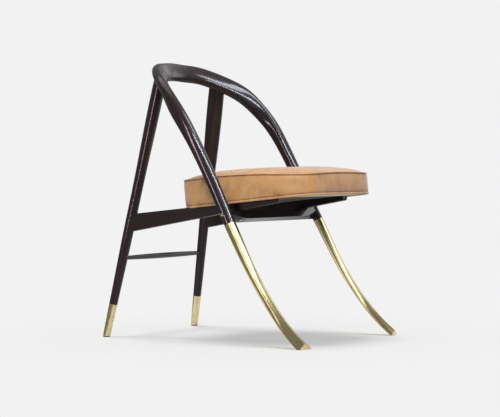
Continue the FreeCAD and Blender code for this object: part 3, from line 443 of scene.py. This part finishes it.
cover_low, cover_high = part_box("seat_dust_cover")
seat_slope = math.atan2(cover_high.z - cover_low.z - COVER_THICKNESS, cover_high.y - cover_low.y)
seat_turn = Matrix.Rotation(-seat_slope, 4, "X")
seat_up = seat_turn @ Vector((0, 0, 1))
seat_back = seat_turn @ Vector((0, 1, 0))
seat_middle = (cover_low + cover_high) / 2 - seat_up * (COVER_THICKNESS / 2) - seat_back * FORWARD
seat_frame = Matrix.Translation(seat_middle) @ seat_turn
half_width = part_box("seat_board")[1].x + BOARD_OVERHANG
half_length = (cover_high.y - cover_low.y) / 2 / math.cos(seat_slope) + BOARD_OVERHANG


def bowed_radius(half, bow):
    """Radius of an arc by its half chord and rise: both squared and added, over twice the rise."""
    return (half * half + bow * bow) / (2 * bow)


def plan_at(turns, inset):
    """
    The cushion's outline and the way that it faces, for turns from 0 to 1 round the seat.
    It is four shallow arcs joined by four corner arcs, and each point is its arc's centre
    plus the arc's radius, less the inset, along the way that it faces.
    """
    side = bowed_radius(half_length, SIDE_BOW)
    end = bowed_radius(half_width, SIDE_BOW)
    side_x = half_width - side
    end_y = half_length - end
    apart = math.hypot(side_x, end_y)
    along = ((side - CORNER) ** 2 - (end - CORNER) ** 2 + apart ** 2) / (2 * apart)
    away = math.sqrt((side - CORNER) ** 2 - along ** 2)
    corner_x = side_x - side_x / apart * along - end_y / apart * away
    corner_y = end_y / apart * along - side_x / apart * away
    low = math.atan2(corner_y, corner_x - side_x)
    high = math.atan2(corner_y - end_y, corner_x)
    breaks = np.array([0, low, high, math.pi / 2])
    reach = np.array([0, side * low, CORNER * (high - low), end * (math.pi / 2 - high)]).cumsum()
    quarter = turns % 1 * 4
    number = np.floor(quarter).astype(int) % 4
    share = quarter % 1
    share = np.where(number % 2 == 0, share, 1 - share)
    facing = np.interp(share * reach[-1], reach, breaks)
    on_side, on_end = facing < low, facing > high
    ring = np.where(on_side, side, np.where(on_end, end, CORNER)) - inset
    x = np.where(on_side, side_x, np.where(on_end, 0, corner_x)) + ring * np.cos(facing)
    y = np.where(on_side, 0, np.where(on_end, end_y, corner_y)) + ring * np.sin(facing)
    flip_x = np.where((number == 1) | (number == 2), -1, 1)
    flip_y = np.where(number > 1, -1, 1)
    return x * flip_x, y * flip_y, np.cos(facing) * flip_x, np.sin(facing) * flip_y


def rim_height(x, y):
    """
    Height of the top seam: a plane that rises to the back, plus a bow that is lost towards
    the corners as the square of x times y, less a dip at the ends as the square of y.
    """
    fall = (x * y / (half_width * half_length)) ** 2 * CORNER_FALL
    dip = END_DIP * (y / half_length) ** 2
    return RIM_HEIGHT + y * math.sin(RIM_WEDGE) + RIM_BOW * (1 - fall) - dip


def ring_faces(rows, columns):
    """Four-cornered faces of a grid whose columns close into a ring."""
    here = np.arange(rows * columns).reshape(rows, columns)
    right = np.roll(here, -1, 1)
    return np.stack([here[:-1], right[:-1], right[1:], here[1:]], -1).reshape(-1, 4)


def smooth(mesh):
    """Shades all faces of a mesh as one soft surface."""
    mesh.polygons.foreach_set("use_smooth", np.full(len(mesh.polygons), True))


def make_piece(name, points, faces, material):
    """A smooth mesh object at the origin, built from points and faces in the chair's own frame."""
    mesh = bpy.data.meshes.new(name)
    mesh.from_pydata(points, [], faces)
    mesh.materials.append(material)
    smooth(mesh)
    mesh.update()
    piece = bpy.data.objects.new(name, mesh)
    bpy.context.scene.collection.objects.link(piece)
    return piece


def points_of(mesh):
    """The places of a mesh's points, one row for each."""
    flat = np.zeros(len(mesh.vertices) * 3)
    mesh.vertices.foreach_get("co", flat)
    return flat.reshape(-1, 3)


def moved(points, matrix):
    """Points turned and shifted by a matrix."""
    turn = np.array(matrix)
    return points @ turn[:3, :3].T + turn[:3, 3]


def cushion_surface(shrink):
    """
    The closed skin of the cushion as a grid: out along the underside, up the band and in
    over the crown. The band is inset by the seams' draw times a power of the distance from
    its middle, the crown rises as one less a power of its distance from the centre, and
    between the seams both start lower by the shrink, as one less that distance squared.
    """
    turns = np.arange(ROUND_STEPS)[None, :] / ROUND_STEPS
    seam_x, seam_y, _, _ = plan_at(turns, SEAM_DRAW)
    under = np.linspace(UNDER_HUB_SHARE, 1 - UNDER_HUB_SHARE, UNDER_ROWS)[:, None]
    band = np.linspace(0, 1, BAND_ROWS)[:, None]
    crown = np.linspace(CROWN_RIM_SHARE, CROWN_HUB_SHARE, CROWN_ROWS)[:, None]
    off = abs(2 * band - 1)
    band_x, band_y, _, _ = plan_at(turns, SEAM_DRAW * off ** WALL_POWER + shrink * (1 - off ** 2))
    rise = CROWN * (1 - crown ** CROWN_POWER) - shrink * (1 - crown ** 2)
    points = np.stack([
        np.vstack([seam_x * under, band_x, seam_x * crown]),
        np.vstack([seam_y * under, band_y, seam_y * crown]),
        np.vstack([
            np.full((UNDER_ROWS, ROUND_STEPS), COVER_THICKNESS),
            COVER_THICKNESS + (rim_height(band_x, band_y) - COVER_THICKNESS) * band,
            rim_height(seam_x * crown, seam_y * crown) + rise,
        ]),
    ], -1)
    rows = len(points)
    corners = np.arange(rows * ROUND_STEPS).reshape(rows, ROUND_STEPS)
    faces = ring_faces(rows, ROUND_STEPS).tolist()
    return points.reshape(-1, 3), faces + [corners[0, ::-1].tolist(), corners[-1].tolist()]


def aniline_leather(name, pebble_size):
    """
    Smooth aniline leather: a soft sheen over a fine pebble, dye that lies in clouds, paler
    where it is rubbed, and darkened by a painted shade where it is drawn into the seams.
    Clouds and rubbed marks are noises, the pebble is a pattern of cells, and the seams'
    painted shade is the piece's own attribute.
    """
    material, output = new_material(name)
    tree = material.node_tree
    place = add(tree, "ShaderNodeTexCoord", {})
    pebble = add(tree, "ShaderNodeTexVoronoi", {
        "Vector": place.outputs["Object"], "Scale": 1 / pebble_size, "Randomness": 0.9},
        feature="SMOOTH_F1")
    cloud = add(tree, "ShaderNodeTexNoise", {
        "Vector": place.outputs["Object"], "Scale": 1 / BLOTCH, "Detail": 6.0, "Roughness": 0.62})
    drawn = add(tree, "ShaderNodeMapping", {
        "Vector": place.outputs["Object"], "Scale": (1.0, 1.0, RUB_STRETCH)})
    rub = add(tree, "ShaderNodeTexNoise", {
        "Vector": drawn.outputs[0], "Scale": RUBS_PER_BLOTCH / BLOTCH, "Detail": 5.0, "Distortion": 0.8})
    dark = add(tree, "ShaderNodeMapRange", {
        "Value": cloud.outputs["Fac"], "From Min": 0.44, "From Max": 0.66, "To Min": 0.0, "To Max": 0.7})
    pale = add(tree, "ShaderNodeMapRange", {
        "Value": rub.outputs["Fac"], "From Min": 0.48, "From Max": 0.7, "To Min": 0.0, "To Max": 0.65})
    base = add(tree, "ShaderNodeMix", {
        0: dark.outputs[0], 6: linear(LEATHER), 7: linear(LEATHER_DARK)}, data_type="RGBA")
    rubbed = add(tree, "ShaderNodeMix", {
        0: pale.outputs[0], 6: base.outputs[2], 7: linear(LEATHER_RUBBED)}, data_type="RGBA")
    # A painted shade darkens the leather in the seams, where their creases would hold shade.
    seam = add(tree, "ShaderNodeAttribute", {}, attribute_name="seam")
    seam_shaded = add(tree, "ShaderNodeMix", {
        0: seam.outputs["Fac"], 6: rubbed.outputs[2], 7: linear(SEAM_PAINTED_SHADE)}, data_type="RGBA")
    rough = add(tree, "ShaderNodeMapRange", {
        "Value": rub.outputs["Fac"], "To Min": 0.42, "To Max": 0.62})
    soft = add(tree, "ShaderNodeBump", {
        "Height": rub.outputs["Fac"], "Distance": PUCKER_DEPTH, "Strength": 0.35})
    relief = add(tree, "ShaderNodeBump", {
        "Height": pebble.outputs["Distance"], "Distance": PEBBLE_DEPTH, "Strength": 0.4,
        "Normal": soft.outputs[0]})
    shader = add(tree, "ShaderNodeBsdfPrincipled", {
        "Base Color": seam_shaded.outputs[2], "Roughness": rough.outputs[0], "Normal": relief.outputs[0],
        "Specular IOR Level": 0.55, "Sheen Weight": 0.55, "Sheen Roughness": 0.35})
    tree.links.new(shader.outputs[0], output.inputs["Surface"])
    return material


def seam_distance(points):
    """
    Distance of chair-frame points from the top seam and from the low seam, as if each were
    level there: the hypotenuse of the gap in plan and the gap in height.
    """
    x, y, z = moved(points, seat_frame.inverted()).T
    plan_x, plan_y, _, _ = plan_at(np.arange(ROUND_STEPS) / ROUND_STEPS, SEAM_DRAW)
    out = np.hypot(x[:, None] - plan_x, y[:, None] - plan_y).min(1)
    return np.hypot(out, z - rim_height(x, y)), np.hypot(out, z)


def fill(piece):
    """
    Fills the cover: the skin is remeshed evenly, then pressed outwards as cloth that is held
    along the top seam and underneath, and no point may lie further than the cap from its
    start.
    """
    remesh = piece.modifiers.new("even mesh", "REMESH")
    remesh.mode = "VOXEL"
    remesh.voxel_size = VOXEL
    graph = bpy.context.evaluated_depsgraph_get()
    even = bpy.data.meshes.new_from_object(piece.evaluated_get(graph))
    piece.modifiers.clear()
    piece.data = even
    start = points_of(even)
    top_gap, _ = seam_distance(start)
    height = moved(start, seat_frame.inverted())[:, 2]
    held = np.flatnonzero((top_gap < VOXEL * HELD_SHARE) | (height < VOXEL))
    piece.vertex_groups.new(name="held").add(held.tolist(), 1.0, "REPLACE")
    cloth = piece.modifiers.new("filling", "CLOTH")
    cloth.settings.vertex_group_mass = "held"
    cloth.settings.use_pressure = True
    cloth.settings.uniform_pressure_force = FILL_PRESSURE
    cloth.settings.effector_weights.gravity = 0
    cloth.collision_settings.use_collision = False
    scene = bpy.context.scene
    for number in range(1, FILL_FRAMES + 1):
        scene.frame_set(number)
    graph = bpy.context.evaluated_depsgraph_get()
    step = points_of(piece.evaluated_get(graph).data) - start
    piece.modifiers.clear()
    piece.vertex_groups.clear()
    scene.frame_set(1)
    length = np.linalg.norm(step, axis=1)[:, None]
    filled = start + step * FILL_CAP / np.maximum(length, FILL_CAP)
    even.vertices.foreach_set("co", filled.ravel())


skin, skin_faces = cushion_surface(FILL_SHRINK)
tan_leather = aniline_leather("Tan aniline leather", PEBBLE)
cushion = make_piece("seat_cushion", moved(skin, seat_frame), skin_faces, tan_leather)
fill(cushion)
# The seams' painted shade fades out over the shade's reach from either seam.
seam_gap = np.minimum(*seam_distance(points_of(cushion.data)))
seam_shade_mark = cushion.data.attributes.new("seam", "FLOAT", "POINT")
seam_shade_mark.data.foreach_set("value", np.clip(1 - seam_gap / SEAM_SHADE, 0, 1))
smooth(cushion.data)
finer = cushion.modifiers.new("finer", "SUBSURF")
finer.levels = 1
finer.render_levels = 1
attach(cushion, "root")
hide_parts("seat_foam", "seat_band", "seat_top_panel")

# Seat piping
# Strips of the same leather folded over a cord and caught in both seams. The top one is
# round, the low one is pulled flat against the band, and the stitches leave both of them a
# little uneven.
WELT_RADIUS = 0.0018
LOW_WELT_RISE = 0.003
TOP_WELT_OUT = 0.0008
LOW_WELT_OUT = 0.001
WELT_SIDES = 14
WELT_STEPS = 700
WELT_PEBBLE = 0.00096
RIPPLE = 0.03
RIPPLES_ROUND = 190
SWELLS_ROUND = 7


def welt_points(inset, height, rise):
    """
    A ring swept round the cushion's plan: across it the cord's radius, and up and down the
    rise. Both swell by the ripple times the sines of the ripples and the swells round it.
    """
    turns = np.arange(WELT_STEPS)[:, None] / WELT_STEPS
    x, y, out_x, out_y = plan_at(turns, inset)
    turn = turns * 2 * math.pi
    swell = 1 + RIPPLE * np.sin(turn * RIPPLES_ROUND) * np.sin(turn * SWELLS_ROUND)
    across = np.arange(WELT_SIDES)[None, :] / WELT_SIDES * 2 * math.pi
    out = np.cos(across) * WELT_RADIUS * swell
    up = np.sin(across) * rise * swell
    return np.stack([x + out_x * out, y + out_y * out, height(x, y) + up], -1).reshape(-1, 3)


def welt_faces():
    """Faces of a tube whose rows and columns both close."""
    here = np.arange(WELT_STEPS * WELT_SIDES).reshape(WELT_STEPS, WELT_SIDES)
    ahead = np.roll(here, -1, 0)
    corners = [here, ahead, np.roll(ahead, -1, 1), np.roll(here, -1, 1)]
    return np.stack(corners, -1).reshape(-1, 4).tolist()


def cover_height(x, y):
    """Height of the low seam, which lies level with the dust cover's underside."""
    return np.zeros_like(x)


piping_leather = aniline_leather("Tan piping leather", WELT_PEBBLE)
for name, node, out, height, rise in (
    ("piping_top", "seat_welt_top", TOP_WELT_OUT, rim_height, WELT_RADIUS),
    ("piping_bottom", "seat_welt_bottom", LOW_WELT_OUT, cover_height, LOW_WELT_RISE),
):
    ring = moved(welt_points(SEAM_DRAW - out, height, rise), seat_frame)
    welt = make_piece(name, ring, welt_faces(), piping_leather)
    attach(welt, "root")
    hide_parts(node)

# Room
# A photographer's studio. A round white floor sweeps out under the chair and ends softly,
# a white backdrop stands behind it to the right, and the rest of the room is dim.
BACKGROUND = "f2f2f2"
FLOOR_WHITE = "f0f0f0"
VIEW_AZIMUTH = -57.845
FLOOR_REACH = 1.0
FLOOR_FADE = 0.5
FLOOR_END_SHARE = 0.98
FLOOR_SIDES = 96
FLOOR_LIT_SHARE = 0.6
ROOM_GLOW = 0.24
AIR_LIGHT = 0.42
# The backdrop's middle, in degrees right of the camera and over the horizon, and the cosines
# of the angles from there to where it ends and to where it is fully white.
WALL_AZIMUTH = 130
WALL_RISE = 16
WALL_END = 0.78
WALL_FULL = 0.93


def seen_from_seat(azimuth, rise):
    """
    Direction to a place at an azimuth right of the camera and a rise over the horizon, in
    degrees: the sine and the negative cosine of the azimuth from the front, both times the
    rise's cosine, and the rise's sine.
    """
    turn, lift = math.radians(VIEW_AZIMUTH + azimuth), math.radians(rise)
    return Vector((math.sin(turn) * math.cos(lift), -math.cos(turn) * math.cos(lift), math.sin(lift)))


floor_mesh = bpy.data.meshes.new("studio_floor")
around = np.arange(FLOOR_SIDES) / FLOOR_SIDES * 2 * math.pi
rim = np.stack([np.cos(around), np.sin(around), np.zeros(FLOOR_SIDES)], -1) * FLOOR_REACH
floor_mesh.from_pydata(rim.tolist(), [], [tuple(range(FLOOR_SIDES))])
floor = bpy.data.objects.new("studio_floor", floor_mesh)
bpy.context.scene.collection.objects.link(floor)

# Matt white paint. A part of its white is a glow of its own, so that the chair's shadow on
# it stays as light as in a room full of bounced light.
floor_paint, output = new_material("White floor paint")
tree = floor_paint.node_tree
place = add(tree, "ShaderNodeTexCoord", {})
away = add(tree, "ShaderNodeVectorMath", {0: place.outputs["Object"]}, operation="LENGTH")
fade = add(tree, "ShaderNodeMapRange", {
    "Value": away.outputs["Value"],
    "From Min": FLOOR_REACH - FLOOR_FADE, "From Max": FLOOR_REACH * FLOOR_END_SHARE},
    interpolation_type="SMOOTHSTEP")
painted = add(tree, "ShaderNodeBsdfDiffuse", {"Color": linear(FLOOR_WHITE)})
glow = add(tree, "ShaderNodeEmission", {"Color": linear(BACKGROUND), "Strength": 1.0})
lit = add(tree, "ShaderNodeMixShader", {
    0: FLOOR_LIT_SHARE, 1: glow.outputs[0], 2: painted.outputs[0]})
beyond = add(tree, "ShaderNodeBsdfTransparent", {})
blend = add(tree, "ShaderNodeMixShader", {
    0: fade.outputs[0], 1: lit.outputs[0], 2: beyond.outputs[0]})
tree.links.new(blend.outputs[0], output.inputs["Surface"])
floor_mesh.materials.append(floor_paint)

# The camera sees one even white, the chair mirrors the backdrop in a dim room, and all else
# gets the air's light.
world = bpy.data.worlds.new("Studio air")
bpy.context.scene.world = world
world.use_nodes = True
tree = world.node_tree
tree.nodes.clear()
ray = add(tree, "ShaderNodeLightPath", {})
way = add(tree, "ShaderNodeTexCoord", {})
toward_wall = add(tree, "ShaderNodeVectorMath", {
    0: way.outputs["Generated"], 1: seen_from_seat(WALL_AZIMUTH, WALL_RISE)}, operation="DOT_PRODUCT")
wall = add(tree, "ShaderNodeMapRange", {
    "Value": toward_wall.outputs["Value"],
    "From Min": WALL_END, "From Max": WALL_FULL, "To Min": ROOM_GLOW, "To Max": 1.0},
    interpolation_type="SMOOTHSTEP")
backdrop = add(tree, "ShaderNodeBackground", {"Color": linear(BACKGROUND), "Strength": 1.0})
mirrored = add(tree, "ShaderNodeBackground", {
    "Color": linear(BACKGROUND), "Strength": wall.outputs[0]})
air = add(tree, "ShaderNodeBackground", {"Color": (1, 1, 1, 1), "Strength": AIR_LIGHT})
seen = add(tree, "ShaderNodeMixShader", {
    0: ray.outputs["Is Glossy Ray"], 1: air.outputs[0], 2: mirrored.outputs[0]})
blend = add(tree, "ShaderNodeMixShader", {
    0: ray.outputs["Is Camera Ray"], 1: seen.outputs[0], 2: backdrop.outputs[0]})
output = add(tree, "ShaderNodeOutputWorld", {})
tree.links.new(blend.outputs[0], output.inputs["Surface"])

# Camera
# It stands where the photograph was taken: low, and well to the sitter's right, with a
# long lens that looks slightly down.
CAMERA_PLACE = (-4.327, -2.7278, 0.4626)
CAMERA_PITCH = -1.3181
LENS = 136.8
SENSOR = 36.0

camera_data = bpy.data.cameras.new("camera")
camera_data.sensor_width = SENSOR
camera_data.lens = LENS
camera = bpy.data.objects.new("camera", camera_data)
bpy.context.scene.collection.objects.link(camera)
camera.location = CAMERA_PLACE
camera_turn = math.radians(VIEW_AZIMUTH)
look = Vector((-math.sin(camera_turn), math.cos(camera_turn), math.tan(math.radians(CAMERA_PITCH))))
camera.rotation_mode = "QUATERNION"
camera.rotation_quaternion = look.to_track_quat("-Z", "Y")
bpy.context.scene.camera = camera

# Lamps
# Wide soft ceiling lamps light the dull pieces and throw the shadow on the floor. Flagged
# soft boxes stand round the chair: four draw the streaks and lights in the lacquer, two
# light the leather, and two are mirrored by the brass.
AIM_HEIGHT = 0.45

dull_only = bpy.data.collections.new("all but brass and floor")
brass_only = bpy.data.collections.new("brass only")
wood_only = bpy.data.collections.new("wood only")
leather_only = bpy.data.collections.new("leather and cloth only")
floor_only = bpy.data.collections.new("floor only")
floor_only.objects.link(floor)
for piece in list(bpy.context.scene.objects):
    if piece.type == "MESH" and piece != floor:
        made_of = piece.data.materials[0].name if piece.data.materials else ""
        kind = brass_only if "brass" in made_of else wood_only if "beech" in made_of else leather_only
        kind.objects.link(piece)
        if kind != brass_only:
            dull_only.objects.link(piece)


def ceiling_lamp(name, power, spread, tilt, lit):
    """
    A wide lamp overhead that lights one collection. In degrees, the spread is the angle that
    it fills, and a tilt below zero sends its light a little towards the chair's front.
    """
    data = bpy.data.lights.new(name, "SUN")
    data.energy = power
    data.angle = math.radians(spread)
    lamp = bpy.data.objects.new(name, data)
    bpy.context.scene.collection.objects.link(lamp)
    lamp.rotation_euler = (math.radians(tilt), 0, 0)
    lamp.light_linking.receiver_collection = lit


def soft_box(name, azimuth, rise, distance, wide, tall, radiance, tint, lit):
    """
    A soft box that faces the seat from an azimuth right of the camera and a rise over the
    horizon, and lights one collection. Its power is radiance times area times pi.
    """
    data = bpy.data.lights.new(name, "AREA")
    data.shape = "RECTANGLE"
    data.size = wide
    data.size_y = tall
    data.energy = radiance * wide * tall * math.pi
    data.color = linear(tint)[:3]
    lamp = bpy.data.objects.new(name, data)
    bpy.context.scene.collection.objects.link(lamp)
    toward = seen_from_seat(azimuth, rise)
    lamp.location = Vector((0, 0, AIM_HEIGHT)) + toward * distance
    lamp.rotation_mode = "QUATERNION"
    lamp.rotation_quaternion = (-toward).to_track_quat("-Z", "Y")
    lamp.light_linking.receiver_collection = lit


ceiling_lamp("ceiling_over_chair", power=1.1, spread=50, tilt=-14, lit=dull_only)
ceiling_lamp("ceiling_over_floor", power=1.85, spread=25, tilt=-7, lit=floor_only)
soft_box("cool_box", azimuth=32, rise=41, distance=3.0, wide=2.6, tall=0.18,
         radiance=64.0, tint="e6eeff", lit=wood_only)
soft_box("warm_box", azimuth=-46, rise=10, distance=3.0, wide=0.4, tall=1.0,
         radiance=24.0, tint="ffe4f4", lit=wood_only)
soft_box("crest_box", azimuth=77, rise=55, distance=3.0, wide=0.8, tall=0.8,
         radiance=20.0, tint="f2f5ff", lit=wood_only)
soft_box("wall_box", azimuth=118, rise=18, distance=3.0, wide=1.7, tall=1.1,
         radiance=1.3, tint="f4f5ff", lit=wood_only)
soft_box("leather_box", azimuth=0, rise=43, distance=3.0, wide=2.0, tall=1.2,
         radiance=11.4, tint="fffaf6", lit=leather_only)
soft_box("leather_back_box", azimuth=165, rise=16, distance=3.0, wide=3.0, tall=1.2,
         radiance=1.6, tint="f6f6fb", lit=leather_only)
soft_box("brass_cool_box", azimuth=42, rise=39, distance=5.0, wide=7.4, tall=1.1,
         radiance=3.2, tint="f2f6ff", lit=brass_only)
soft_box("brass_warm_box", azimuth=-21, rise=18, distance=3.0, wide=1.3, tall=0.8,
         radiance=1.3, tint="fffaf0", lit=brass_only)

bpy.context.scene.view_settings.view_transform = "Standard"
